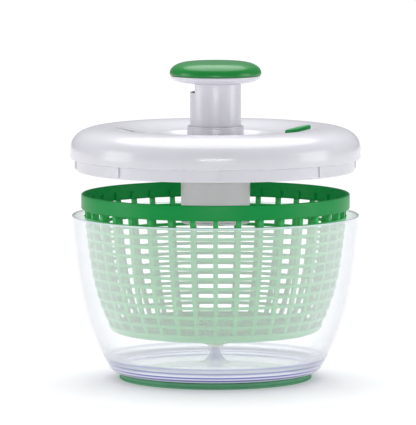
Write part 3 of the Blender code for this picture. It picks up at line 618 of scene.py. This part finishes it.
def make_bowl():
    """Clear bowl with its pivot post and the faint rings in its floor."""
    arc_centre = (
        HEEL_R - HEEL_ARC_R * math.sin(math.radians(HEEL_TURN)),
        FOOT_Z + HEEL_ARC_R,
    )
    heel = arc(arc_centre, HEEL_ARC_R, -90, HEEL_TURN - 90, 12)
    lip = 0.75
    outside = heel[:-1] + [(bowl_radius(z), z) for z in between(HEEL_Z, RIM_Z - lip, 60)]
    rim = arc((RIM_R - RIM_T / 2, RIM_Z - lip), lip, 12, 168, 9)
    inner = between(HEEL_Z + 8.5, RIM_Z - lip, 50)
    inside = [(bowl_radius(z) - bowl_thickness(z), z) for z in reversed(inner)]
    corner = inside[-1]
    inner_heel = [
        (FLOOR_R + (corner[0] - FLOOR_R) * math.sin(math.radians(a)),
         FLOOR_Z + (corner[1] - FLOOR_Z) * (1 - math.cos(math.radians(a))))
        for a in between(84, 0, 14)
    ]
    ridge, ridge_top, ridge_foot = 0.35, 0.4, 0.9
    rings = [
        (r + side, FLOOR_Z + up)
        for r in (55.0, 34.0)
        for side, up in ((ridge_foot, 0), (ridge_top, ridge), (-ridge_top, ridge), (-ridge_foot, 0))
    ]
    spread = 6.5
    flare = [
        (PIVOT_R + spread * (1 - t) ** 2.2, FLOOR_Z + (PIVOT_TOP - PIVOT_R - FLOOR_Z) * t)
        for t in between(0, 1, 12)
    ]
    tip = arc((0, PIVOT_TOP - PIVOT_R), PIVOT_R, 8, 82, 8) + [(0, PIVOT_TOP)]
    floor_under = 8.4
    core = [(0, 18.0), (1.6, 17.0), (6.0, floor_under), (56.0, floor_under), (58.0, FOOT_Z)]
    groove = [
        (TONGUE_IN - GAP, FOOT_Z), (TONGUE_IN - GAP, TONGUE_TOP + GAP),
        (TONGUE_OUT + GAP, TONGUE_TOP + GAP), (TONGUE_OUT + GAP, FOOT_Z),
    ]
    outline = core + groove + outside + rim + inside + inner_heel + rings + flare + tip
    stand_for(turned("bowl_shell", outline, CLEAR), ["bowl"], "bowl")


def make_foot_ring():
    """Soft green ring with a shallow groove round its side."""
    top = FOOT_Z - GAP
    waist = FOOT_RING_OUT - 0.5
    ring = [
        (FOOT_RING_IN, 0), (FOOT_RING_OUT, 0), (FOOT_RING_OUT, 1.2), (waist, 1.5),
        (waist, 1.9), (FOOT_RING_OUT, 2.2), (FOOT_RING_OUT, top),
        (TONGUE_OUT, top), (TONGUE_OUT, TONGUE_TOP), (TONGUE_IN, TONGUE_TOP),
        (TONGUE_IN, top), (FOOT_RING_IN, top),
    ]
    obj = turned("foot_ring", rounded(ring, 0.6), FOOT_GREEN)
    stand_for(obj, ["non_slip_ring"], "bowl")


# ---- basket ----

def lattice(rows, ribs, rib_angle, gap_columns):
    """Points and faces of a lattice, from rows of layered outlines.

    Each row is (layers, kind).  layers are four points across the wall: the ring's outer face,
    the rib's outer face, the ring's inner face and the rib's inner face.  kind says what lies
    below that row: "plain" wall, wall with ribs ("ribbed"), or windows between ribs ("open").
    The last row only closes the one above it.
    """
    angles, is_rib = [], []
    for k in range(ribs):
        middle = 360 / ribs * k
        free = 360 / ribs - rib_angle
        angles.append(middle - rib_angle / 2)
        is_rib.append(True)
        for step in range(gap_columns):
            angles.append(middle + rib_angle / 2 + free * step / gap_columns)
            is_rib.append(False)
    lines = len(angles)
    on_rib = [is_rib[i] or is_rib[i - 1] for i in range(lines)]
    index, points, faces = {}, [], []

    def at(row, line, layer):
        key = (row, line % lines, layer)
        if key not in index:
            r, z = rows[row][0][layer]
            index[key] = len(points)
            points.append((*polar(r, angles[line % lines]), z))
        return index[key]

    for row in range(len(rows) - 1):
        kind = rows[row][1]
        below = rows[row + 1][1] if row + 2 < len(rows) else None
        for i in range(lines):
            j = i + 1
            rib = is_rib[i]

            def sheet(layer):
                faces.append((at(row, i, layer), at(row, j, layer),
                              at(row + 1, j, layer), at(row + 1, i, layer)))

            if kind != "open":
                sheet(0)
                sheet(3 if rib and kind == "ribbed" else 2)
            elif rib:
                sheet(1)
                sheet(3)
            if rib and kind == "ribbed":
                for line in (i, j):
                    faces.append((at(row, line, 2), at(row, line, 3),
                                  at(row + 1, line, 3), at(row + 1, line, 2)))
            if rib and kind == "open":
                for line in (i, j):
                    faces.append(tuple(at(row, line, layer) for layer in (1, 2, 3))
                                 + tuple(at(row + 1, line, layer) for layer in (3, 2, 1)))
            if below is None or kind == below:
                continue
            edge = row + 1
            if "open" in (kind, below):
                if rib:
                    faces.append((at(edge, i, 0), at(edge, j, 0), at(edge, j, 1), at(edge, i, 1)))
                else:
                    near = [at(edge, j, 1)] if on_rib[j % lines] else []
                    far = [at(edge, i, 1)] if on_rib[i] else []
                    faces.append(tuple([at(edge, i, 0), at(edge, j, 0)] + near
                                       + [at(edge, j, 2), at(edge, i, 2)] + far))
            elif rib:
                faces.append((at(edge, i, 2), at(edge, j, 2), at(edge, j, 3), at(edge, i, 3)))
    for row in (0, len(rows) - 1):
        for i in range(lines):
            j = i + 1
            faces.append((at(row, i, 0), at(row, j, 0), at(row, j, 2), at(row, i, 2)))
    return points, faces


def wall_layers(z):
    """The four layers of the basket's wall at a height."""
    r = basket_radius(z)
    return [(r + RING_PROUD, z), (r, z), (r - LATTICE_T, z), (r - LATTICE_T - RIB_PROUD, z)]


def make_basket():
    """Lattice wall under a plain rim band, round a slotted floor with a boss below it."""
    band_in = BASKET_R - 2.0
    rows = []
    for r_out, r_in, z, kind in (
        (BASKET_R - 0.6, band_in + 0.5, BASKET_TOP, "plain"),
        (BASKET_R - 0.1, band_in + 0.1, BASKET_TOP - 0.4, "plain"),
        (BASKET_R, band_in, BASKET_TOP - 1.2, "plain"),
        (BASKET_R, band_in, RIB_TOP, "ribbed"),
        (BASKET_R, band_in, BAND_BOTTOM + 0.5, "ribbed"),
        (BASKET_R - 0.5, band_in - 0.4, BAND_BOTTOM, "ribbed"),
    ):
        rows.append(([(r_out, z), (r_out - 0.7, z), (r_in, z), (r_in - RIB_PROUD, z)], kind))
    rows.append((wall_layers(BAND_BOTTOM - 0.35), "ribbed"))
    for k in range(WINDOW_ROWS):
        centre = TOP_WINDOW_Z - WINDOW_PITCH * k
        rows.append((wall_layers(centre + WINDOW_H / 2), "open"))
        rows.append((wall_layers(centre - WINDOW_H / 2), "ribbed"))
    heel_z = rows[-1][0][0][1]
    rise, reach = heel_z - BASKET_BOTTOM, basket_radius(heel_z) - BASKET_FLOOR_R
    for a in (72, 54, 36, 18, 0):
        out, up = math.sin(math.radians(a)), 1 - math.cos(math.radians(a))
        layers = []
        for inwards in (-RING_PROUD * out, 0, LATTICE_T, LATTICE_T + RIB_PROUD):
            raised = max(inwards, 0)
            layers.append((BASKET_FLOOR_R + (reach - inwards) * out,
                           BASKET_BOTTOM + raised + (rise - raised) * up))
        rows.append((layers, "ribbed"))
    floor_top = BASKET_BOTTOM + LATTICE_T
    floor = (BASKET_BOTTOM, BASKET_BOTTOM, floor_top, floor_top + RIB_PROUD)
    bands = []
    for k in range(FLOOR_WINDOWS):
        outer = FLOOR_WINDOW_R - FLOOR_WINDOW_PITCH * k
        bands += [(outer, "open"), (outer - FLOOR_WINDOW_W, "ribbed")]
    for r, kind in bands + [(24.0, "plain"), (22.0, "end")]:
        rows.append(([(r, z) for z in floor], kind))
    points, faces = lattice(rows, RIBS, RIB_ANGLE, WINDOW_COLUMNS)
    basket = add_mesh("basket_lattice", points, faces, BASKET_GREEN)
    bevel(basket, 0.25, 1, 50)
    stand_for(basket, ["basket"], "basket")

    dome = [
        (22.2, BASKET_BOTTOM), (22.2, floor_top + 0.4), (17.0, floor_top + 0.7),
        (11.0, floor_top + 2.4), (5.0, floor_top + 3.1), (0, floor_top + 3.2),
    ]
    boss_bottom, seat_low, seat_high, seat_top = 24.2, 25.1, 26.9, 30.9
    mouth_r, seat_r, shank_r = 7.2, 8.1, 5.9
    boss = [
        (0, seat_top), (shank_r, seat_top), (shank_r, seat_high), (seat_r, seat_high),
        (seat_r, seat_low), (mouth_r, seat_low), (mouth_r, boss_bottom), (9.4, boss_bottom),
        (9.8, 30.5), (12.3, BASKET_BOTTOM),
    ]
    middle = turned("basket_middle", rounded(boss + dome, 0.7), BASKET_GREEN, columns=SMALL_ROUND)
    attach(middle, "basket")


# ---- lid ----

def cover_outline():
    """The lid's outline from its lowest outer edge over the crest down to the well."""
    climb = [
        (CREST_R + (COVER_R - CREST_R) * math.cos(math.radians(a)) ** (2 / CREST_POWER),
         COVER_EDGE_H + (CREST_H - COVER_EDGE_H) * math.sin(math.radians(a)) ** (2 / CREST_POWER))
        for a in between(2, 86, 26)
    ]
    slope = [(r, cover_height(r)) for r in between(CREST_R, DISH_R, 26)]
    step = [(r, cover_height(r)) for r in between(DISH_R, WELL_R, 12)[1:]]
    foot = [(COVER_R - 0.9, 0), (COVER_R - 0.25, 0.25), (COVER_R, 0.9)]
    return foot + [(COVER_R, COVER_EDGE_H)] + climb + slope + step


def make_cover():
    """Glossy domed cover with openings for the guide, the brake and the drain."""
    top = cover_outline()
    under = list(reversed(offset(top[2:], -COVER_T)))
    under.append((COVER_R - COVER_T, 0))
    neck = [(GUIDE_R + 3.4, WELL_H), (GUIDE_R + 1.9, 12.3), (GUIDE_R + 1.0, 13.0),
            (GUIDE_R + 0.5, 14.2), (GUIDE_R + 0.3, 14.4)]
    floor, boss_bottom = WELL_H - COVER_T, 7.0
    boss_in, boss_out = 25.5, 33.5
    boss = [(GUIDE_R + 0.3, floor), (boss_in, floor), (boss_in, boss_bottom),
            (boss_out, boss_bottom), (boss_out, floor)]
    cover = turned("lid_dome", top + neck + boss + under, LID_WHITE, SEAM)
    room = 0.5
    cut(cover, [
        lofted("hole", [almond(length + room, width + room, z, x) for z in (5, 30)],
               LID_WHITE, SEAM)
        for (length, width), x in ((BRAKE_SIZE, BRAKE_X), (DRAIN_SIZE, DRAIN_X))
    ])
    stand_for(cover, ["lid_cover"], "lid")


def make_lid_base():
    """Skirt ring with a thin upright rib every 45 degrees."""
    inner, outer = SKIRT_R - SKIRT_T, COVER_R - COVER_T - GAP - 0.2
    shelf_low, shelf_high = 2.4, 4.0
    outline = [
        (SKIRT_R - 0.5, SKIRT_BOTTOM), (SKIRT_R, SKIRT_BOTTOM + 0.8), (SKIRT_R, shelf_low),
        (outer, shelf_low), (outer, shelf_high), (inner, shelf_high), (inner, SKIRT_BOTTOM),
    ]
    base = turned("lid_skirt", rounded(outline, 0.4), LID_WHITE, SEAM)
    ribs = []
    count, first = 8, 2
    proud, half = 1.1, 0.5
    side = math.degrees(half / SKIRT_R)
    for k in range(count):
        turn = 360 / count * k + first
        loops = []
        for z, out in ((SKIRT_BOTTOM + 1.0, 0.1), (SKIRT_BOTTOM + 1.8, proud), (-0.4, proud),
                       (0.4, 0.1)):
            ends = ((SKIRT_R - 0.6, -side), (SKIRT_R + out, -side), (SKIRT_R + out, side),
                    (SKIRT_R - 0.6, side))
            loops.append([(*polar(r, turn + s), z) for r, s in ends])
        ribs.append(lofted("rib", loops, LID_WHITE, SEAM))
    cut(base, ribs, "UNION")
    stand_for(base, ["lid_base"], "lid")


def make_guide():
    """Guide sleeve whose collar stands in the middle of the lid."""
    bottom, floor, spindle_hole = -38.0, -36.0, 5.3
    groove_r, groove_low, groove_high = 19.3, -34.8, -33.2
    flange_r, flange_low, flange_high = 33.0, 4.7, 6.7
    outline = [
        (GUIDE_BORE, GUIDE_TOP), (GUIDE_BORE, floor), (spindle_hole, floor),
        (spindle_hole, bottom), (GUIDE_R, bottom), (GUIDE_R, groove_low),
        (groove_r, groove_low), (groove_r, groove_high), (GUIDE_R, groove_high),
        (GUIDE_R, flange_low), (flange_r, flange_low), (flange_r, flange_high),
        (GUIDE_R, flange_high), (GUIDE_R, GUIDE_TOP - 1.3), (GUIDE_R - 0.3, GUIDE_TOP - 1.1),
        (GUIDE_R - 0.3, GUIDE_TOP),
    ]
    guide = turned("guide_sleeve", rounded(outline, 0.35), TUBE_WHITE, SEAM)
    spots = [polar(GUIDE_SCREW_R, 45 + 90 * k) for k in range(4)]
    cut(guide, [lofted("hole", [circle(1.9, z, 24, at) for z in (3, 9)], TUBE_WHITE, SEAM)
                for at in spots])
    stand_for(guide, ["plunger_guide"], "lid")


def under_cover(depth):
    """Height of the surface that lies a depth below the lid's top, as a function of the radius."""
    return lambda r: cover_height(r) - depth


def make_brake():
    """Almond brake button in its housing."""
    stem_r, hole_r, socket = 3.0, 3.6, 7.8
    housing = [
        almond(*BRAKE_SIZE, under_cover(0.35), BRAKE_X),
        almond(*BRAKE_SIZE, under_cover(CLIP_TOP), BRAKE_X),
        almond(*BRAKE_CLIP, under_cover(CLIP_TOP), BRAKE_X),
        almond(*BRAKE_CLIP, under_cover(CLIP_BOTTOM), BRAKE_X),
        almond(*BRAKE_SIZE, under_cover(CLIP_BOTTOM), BRAKE_X),
        almond(*BRAKE_SIZE, 6.6, BRAKE_X),
        circle(hole_r, 6.6, 64, (BRAKE_X, 0)), circle(hole_r, socket, 64, (BRAKE_X, 0)),
        almond(25.4, 12.6, socket, BRAKE_X), almond(25.4, 12.6, under_cover(1.0), BRAKE_X),
        almond(26.0, 13.2, under_cover(0.5), BRAKE_X),
        almond(27.4, 14.4, under_cover(0.2), BRAKE_X),
    ]
    obj = lofted("brake_cup", housing, LID_WHITE, SEAM, joined=True)
    stand_for(obj, ["brake_housing"], "lid")

    head = 13.4
    loops = [circle(stem_r, z, 64, (BRAKE_X, 0)) for z in (4.7, head)]
    loops.append(almond(18.2, 10.0, head, BRAKE_X))
    for length, width, above in (
        (18.2, 10.0, 0.8), (18.0, 9.8, 1.7), (17.2, 9.1, 2.3), (15.8, 8.0, 2.7),
        (13.6, 6.6, 2.9), (10.6, 4.8, 3.0), (6.8, 3.0, 3.05),
    ):
        loops.append(almond(length, width, under_cover(-above), BRAKE_X))
    button = lofted("brake_key", loops, BRAKE_GREEN, SEAM, slats=True)
    stand_for(button, ["brake_button"], "brake")


def make_drain():
    """Almond drain insert with curved slots that follow the lid's circle."""
    loops = [
        almond(25.2, 10.6, under_cover(2.3), DRAIN_X),
        almond(26.0, 11.2, under_cover(2.1), DRAIN_X),
        almond(27.0, 12.2, under_cover(0.5), DRAIN_X),
        almond(27.8, 12.9, under_cover(0.2), DRAIN_X),
        almond(28.7, 13.7, under_cover(0.2), DRAIN_X),
        almond(*DRAIN_SIZE, under_cover(0.4), DRAIN_X),
        almond(*DRAIN_SIZE, under_cover(CLIP_TOP), DRAIN_X),
        almond(*DRAIN_CLIP, under_cover(CLIP_TOP), DRAIN_X),
        almond(*DRAIN_CLIP, under_cover(CLIP_BOTTOM), DRAIN_X),
    ]
    # Painted shade: the insert is grey in place of white.
    plate = lofted("drain_insert", loops, DRAIN_PAINTED_SHADE, SEAM, slats=True)
    pitch, half_width = 4.2, 0.8
    slots = []
    for k, half_length in enumerate((3.2, 4.6, 5.2, 4.6, 3.2)):
        r = -DRAIN_X + (k - 2) * pitch
        side = math.degrees(half_length / r)
        turns = between(180 - side, 180 + side, 9)
        ring = [polar(r + half_width, a) for a in turns]
        ring += [polar(r - half_width, a) for a in reversed(turns)]
        slots.append(lofted("slot", [[(x, y, z) for x, y in ring] for z in (5, 30)],
                            DRAIN_PAINTED_SHADE, SEAM))
    cut(plate, slots)
    stand_for(plate, ["drain_grille"], "lid")


# ---- plunger ----

def make_plunger():
    """Tube, knob base and soft cap."""
    bore, screw_hole = TUBE_R - 1.8, 2.4
    wall = [
        (screw_hole, TUBE_TOP), (TUBE_R, TUBE_TOP), (TUBE_R, TUBE_BOTTOM), (bore, TUBE_BOTTOM),
        (bore, TUBE_TOP - 2), (screw_hole, TUBE_TOP - 2),
    ]
    tube = turned("pump_tube", rounded(wall, 0.4), TUBE_WHITE, SEAM)
    notch_x, notch_y, notch_z = -TUBE_R + 3.4, 11.5, (46.6, 54)
    corners = [(-20, -notch_y), (notch_x, -notch_y), (notch_x, notch_y), (-20, notch_y)]
    notch = lofted("notch", [[(x, y, z) for x, y in corners] for z in notch_z], TUBE_WHITE,
                   SEAM)
    cut(tube, [notch])
    stand_for(tube, ["plunger_tube"], "plunger")

    under = TUBE_TOP + GAP
    lip = KNOB_SPLIT - GAP
    belly = [
        (20.5 + 11.1 * math.sin(math.radians(a)) ** 1.1,
         under + (lip - 0.5 - under) * (1 - math.cos(math.radians(a))))
        for a in between(0, 90, 16)
    ]
    base = [(screw_hole, under)] + belly + [
        (31.6, lip), (28.4, lip), (28.4, lip + 3.5), (26.4, lip + 3.5),
        (26.4, under + 4.0), (screw_hole, under + 4.0),
    ]
    obj = turned("knob_under", base, TUBE_WHITE, SEAM)
    stand_for(obj, ["knob_base"], "plunger")

    brow, low = 16.0, KNOB_SPLIT + 0.9
    shoulder = [
        (brow + (KNOB_R - brow) * math.sin(math.radians(a)) ** 0.9,
         low + (KNOB_TOP - low) * math.cos(math.radians(a)) ** 0.9)
        for a in between(3, 88, 26)
    ]
    dish_r, dip = 15.5, 0.7
    dish = [(r, KNOB_TOP - dip * (1 - ease(r / dish_r))) for r in between(0, dish_r, 14)]
    skirt = [
        (KNOB_R, low), (KNOB_R - 0.4, KNOB_SPLIT + 0.2), (KNOB_R - 1.2, KNOB_SPLIT),
        (28.8, KNOB_SPLIT), (28.8, KNOB_SPLIT + 3.0), (24.0, KNOB_TOP - 4.2), (0, KNOB_TOP - 4.2),
    ]
    cap = turned("knob_soft_cap", dish + shoulder + skirt, KNOB_GREEN, SEAM)
    stand_for(cap, ["knob_cap"], "plunger")


# ---- turntable ----

def make_hub():
    """Hub tube under the lid and the cap that closes it."""
    top, bearing_r, middle_r = -0.3, 22.6, 21.6
    upper_seat, lower_seat = -10.3, -26.7
    flange_r, flange_low, flange_high = 36.0, -4.2, -2.3
    hub = [
        (bearing_r, top), (bearing_r, upper_seat), (middle_r, upper_seat),
        (middle_r, lower_seat), (bearing_r, lower_seat), (bearing_r, HUB_BOTTOM),
        (HUB_FOOT_R, HUB_BOTTOM), (HUB_R, flange_low), (flange_r, flange_low),
        (flange_r, flange_high), (HUB_R, flange_high), (HUB_R, top),
    ]
    obj = turned("hub_tube", rounded(hub, 0.35), HUB_PAINTED_LIGHT_WHITE, SEAM)
    spots = [polar(HUB_SCREW_R, 90 + 120 * k) for k in range(3)]
    cut(obj, [lofted("hole", [circle(1.8, z, 24, at) for z in (-7, 0)], HUB_PAINTED_LIGHT_WHITE, SEAM)
              for at in spots])
    stand_for(obj, ["turntable_hub"], "turntable")

    low, high = edge_of("hub_cap", 0, 2) - SEAM, HUB_BOTTOM - 0.2
    cap = [
        (0, low + 0.5), (9.0, low + 0.5), (10.0, low), (HUB_FOOT_R - 1.4, low),
        (HUB_FOOT_R, low + 0.9), (HUB_FOOT_R, high), (0, high),
    ]
    obj = turned("hub_end_cap", rounded(cap, 0.4), HUB_PAINTED_LIGHT_WHITE, SEAM, SMALL_ROUND)
    stand_for(obj, ["hub_cap"], "turntable")


def make_screws():
    """Pan-head screws with a cross recess, in place of the plain ones."""
    groups = (("guide_screw", 4, GUIDE_SCREW_R, 45, 90, "lid", 3.0, 2.4, 4.5),
              ("hub_screw", 3, HUB_SCREW_R, 90, 120, "turntable", 2.8, -6.3, -4.4))
    for prefix, count, ring, first, step, body, head_r, low, high in groups:
        for k in range(count):
            centre = polar(ring, first + step * k)
            top = edge_of(f"{prefix}_{k + 1}", 1, 2) - SEAM
            outline = [(0, low), (head_r - 1.3, low), (head_r - 0.4, low + 0.4),
                       (head_r, low + 1.1), (head_r, high), (1.3, high), (1.3, top - 0.5),
                       (0.8, top), (0, top)]
            screw = turned(f"{prefix}_head_{k + 1}", outline, STEEL, SEAM, 32, centre)
            arms = []
            for long, wide in ((1.5, 0.35), (0.35, 1.5)):
                box = [(-long, -wide), (long, -wide), (long, wide), (-long, wide)]
                arms.append(lofted("arm", [[(centre[0] + x, centre[1] + y, z) for x, y in box]
                                           for z in (low - 0.5, low + 0.9)], STEEL, SEAM))
            cut(screw, arms)
            stand_for(screw, [f"{prefix}_{k + 1}"], body)


def make_spring(name, node, body, wire, turns):
    """Coil spring that fills the box of a CAD spring."""
    (left, back, low), (right, front, high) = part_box(node)
    centre = ((left + right) / 2 / MM, (back + front) / 2 / MM)
    low, high = low / MM, high / MM
    reach = (right - left) / 2 / MM - wire
    steps_per_turn, sides = 28, 10
    steps = steps_per_turn * turns
    loops = []
    for k in range(steps + 1):
        part = k / steps
        z = low + wire + (high - low - 2 * wire) * part
        loops.append([
            (centre[0] + x, centre[1] + y, z + wire * math.sin(math.radians(a)))
            for a in between(0, 360, sides + 1)[:-1]
            for x, y in [polar(reach + wire * math.cos(math.radians(a)), 360 * turns * part)]
        ])
    spring = lofted(name, loops, STEEL)
    stand_for(spring, [node], body)
    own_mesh(spring)


def make_springs():
    """Springs of the plunger and the brake."""
    make_spring("plunger_coil", "return_spring", "lid", 0.6, 6)
    make_spring("brake_coil", "brake_spring", "lid", 0.3, 4)


# ---- pieces whose CAD shape stays ----

def finish_cad_pieces():
    """Gives the inner CAD pieces, which keep their shape, their materials."""
    looks = {
        NATURAL: ("pivot_bush", "thrust_washer", "plunger_nut", "clutch_rotor", "upper_bearing",
                  "lower_bearing"),
        DRIVE_GREY: ("drive_screw", "ratchet_ring"),
        STEEL: ("retaining_ring", "knob_screw"),
        PAD_RUBBER: ("brake_pad",),
        TUBE_WHITE: ("drive_wheel",),
    }
    for finish, names in looks.items():
        for name in names:
            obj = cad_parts[name]
            obj.data.materials.clear()
            obj.data.materials.append(finish)


# ---- studio ----

def make_studio():
    """Pale floor, soft lights and the camera."""
    floor = bpy.data.objects.new("floor", bpy.data.meshes.new("floor"))
    work = bmesh.new()
    bmesh.ops.create_grid(work, x_segments=1, y_segments=1, size=6)
    work.to_mesh(floor.data)
    work.free()
    bpy.context.scene.collection.objects.link(floor)
    pale = shader_tree("pale_floor")[0]
    shader = pale.node_tree.nodes["Principled BSDF"]
    shader.inputs["Base Color"].default_value = (0.58, 0.58, 0.59, 1)
    shader.inputs["Roughness"].default_value = 0.5
    shader.inputs["Specular IOR Level"].default_value = 0.2
    shader.inputs["Emission Color"].default_value = (1, 1, 1, 1)
    shader.inputs["Emission Strength"].default_value = 0.32
    floor.data.materials.append(pale)

    world = bpy.data.worlds.new("studio")
    bpy.context.scene.world = world
    world.use_nodes = True
    tree = world.node_tree
    lit = tree.nodes["Background"]
    lit.inputs["Color"].default_value = (0.93, 0.95, 1.0, 1)
    lit.inputs["Strength"].default_value = 0.28
    seen = tree.nodes.new("ShaderNodeBackground")
    seen.inputs["Color"].default_value = (1, 1, 1, 1)
    seen.inputs["Strength"].default_value = 1.0
    path = tree.nodes.new("ShaderNodeLightPath")
    mix = tree.nodes.new("ShaderNodeMixShader")
    tree.links.new(path.outputs["Is Camera Ray"], mix.inputs["Fac"])
    tree.links.new(lit.outputs["Background"], mix.inputs[1])
    tree.links.new(seen.outputs["Background"], mix.inputs[2])
    tree.links.new(mix.outputs["Shader"], tree.nodes["World Output"].inputs["Surface"])

    sun = bpy.data.objects.new("overhead", bpy.data.lights.new("overhead", "SUN"))
    sun.data.energy = 3.5
    sun.data.angle = math.radians(70)
    sun.rotation_euler = Vector((0, 0.3, 1)).to_track_quat("Z", "Y").to_euler()
    bpy.context.scene.collection.objects.link(sun)
    aim = Vector((0, 0, 0.12))
    for name, place, size, power, shine in (
        ("top_light", (0.0, 0.35, 1.5), (1.2, 1.2), 2.5, 1.0),
        ("left_light", (-1.4, -0.2, 0.3), (0.7, 0.7), 5, 1.0),
        ("right_light", (1.4, -0.2, 0.3), (0.7, 0.7), 5, 1.0),
        ("front_light", (0.0, -2.0, 0.32), (0.9, 0.16), 6.5, 0.1),
    ):
        light = bpy.data.lights.new(name, "AREA")
        light.shape = "RECTANGLE"
        light.size, light.size_y = size
        light.energy = power
        light.specular_factor = shine
        lamp = bpy.data.objects.new(name, light)
        bpy.context.scene.collection.objects.link(lamp)
        lamp.location = place
        lamp.rotation_euler = (aim - lamp.location).to_track_quat("-Z", "Y").to_euler()

    distance = 3.4
    elevation = math.radians(5.6)
    centre = Vector((-0.0053, 0, 0.1172))
    camera = bpy.data.objects.new("camera", bpy.data.cameras.new("camera"))
    bpy.context.scene.collection.objects.link(camera)
    camera.location = centre + distance * Vector((0, -math.cos(elevation), math.sin(elevation)))
    camera.rotation_euler = (centre - camera.location).to_track_quat("-Z", "Y").to_euler()
    frame_height = 0.3001
    camera.data.sensor_width = 36
    camera.data.lens = camera.data.sensor_width * distance / frame_height
    camera.data.clip_start = 0.1
    camera.data.clip_end = 50
    bpy.context.scene.camera = camera
    bpy.context.scene.view_settings.view_transform = "Standard"


# ---- the whole object ----

make_studio()
make_bowl()
make_foot_ring()
make_basket()
make_cover()
make_lid_base()
make_guide()
make_brake()
make_drain()
make_plunger()
make_hub()
make_screws()
make_springs()
finish_cad_pieces()
